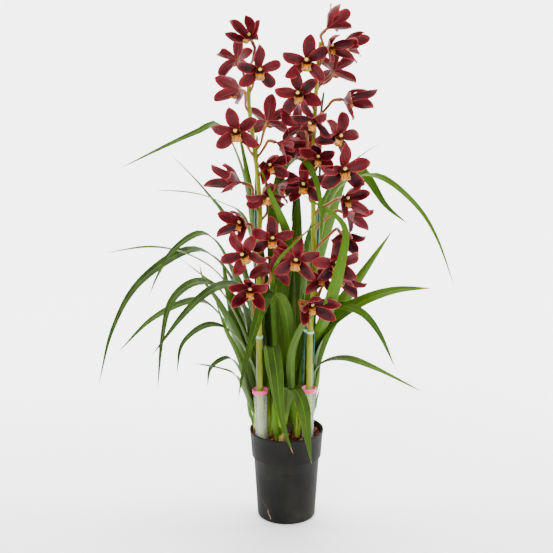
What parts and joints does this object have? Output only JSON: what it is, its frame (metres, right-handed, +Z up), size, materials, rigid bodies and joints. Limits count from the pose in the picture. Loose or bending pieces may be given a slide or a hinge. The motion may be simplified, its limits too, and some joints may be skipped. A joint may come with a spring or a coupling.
{
  "type": "potted orchid",
  "caption": "Mini cymbidium orchid in a deep round nursery pot: staked burgundy flower spikes above a crown of arching strap leaves.",
  "frame": {"origin": "centre of the pot's underside, on the surface it stands on", "axes": "+Z up the plant, the flowers' front faces -Y, +X to the viewer's right"},
  "size_m": [0.58, 0.1818, 0.8304],
  "materials": {
    "pot_plastic": "black moulded nursery-pot plastic, satin, scuffed",
    "bark": "dry red-brown bark chips, matte",
    "sleeve_plastic": "milky translucent plastic",
    "ring_plastic": "bright pink plastic",
    "flower_stem": "yellow-green flower stem with orange-brown stalks, satin",
    "stake_plastic": "dark green coated stake",
    "clip_plastic": "pale green plastic",
    "tie": "dark green tie",
    "leaf": "waxy mid-green strap leaf with fine veins",
    "petal": "deep burgundy petals with a cream lip spotted red"
  },
  "bodies": {
    "root": {"pot": "pot_plastic", "potting_bark": "bark", "sleeve_left": "sleeve_plastic", "sleeve_right": "sleeve_plastic", "ring_left": "ring_plastic", "ring_right": "ring_plastic", "spike_left": "flower_stem", "spike_right": "flower_stem", "stake_left": "stake_plastic", "stake_right": "stake_plastic", "stake_right_short": "stake_plastic", "clip_left": "clip_plastic", "clip_right": "clip_plastic", "tie_right": "tie", "shoot_left_front": "leaf", "shoot_left_back": "leaf", "shoot_back": "leaf", "shoot_middle": "leaf", "shoot_front": "leaf", "shoot_right_front": "leaf", "shoot_right_back": "leaf", "flower_left_01": "petal", "flower_left_02": "petal", "flower_left_03": "petal", "flower_left_04": "petal", "flower_left_05": "petal", "flower_left_06": "petal", "flower_left_07": "petal", "flower_left_08": "petal", "flower_left_09": "petal", "flower_left_10": "petal", "flower_left_11": "petal", "flower_left_12": "petal", "flower_left_13": "petal", "flower_left_14": "petal", "flower_left_15": "petal", "flower_left_16": "petal", "flower_left_17": "petal", "flower_right_01": "petal", "flower_right_02": "petal", "flower_right_03": "petal", "flower_right_04": "petal", "flower_right_05": "petal", "flower_right_06": "petal", "flower_right_07": "petal", "flower_right_08": "petal", "flower_right_09": "petal", "flower_right_10": "petal", "flower_right_11": "petal", "flower_right_12": "petal", "flower_right_13": "petal", "flower_right_14": "petal", "flower_right_15": "petal", "flower_right_16": "petal", "flower_right_17": "petal", "flower_right_18": "petal", "flower_right_19": "petal", "flower_right_20": "petal", "flower_right_21": "petal", "flower_right_22": "petal"}
  },
  "joints": []
}
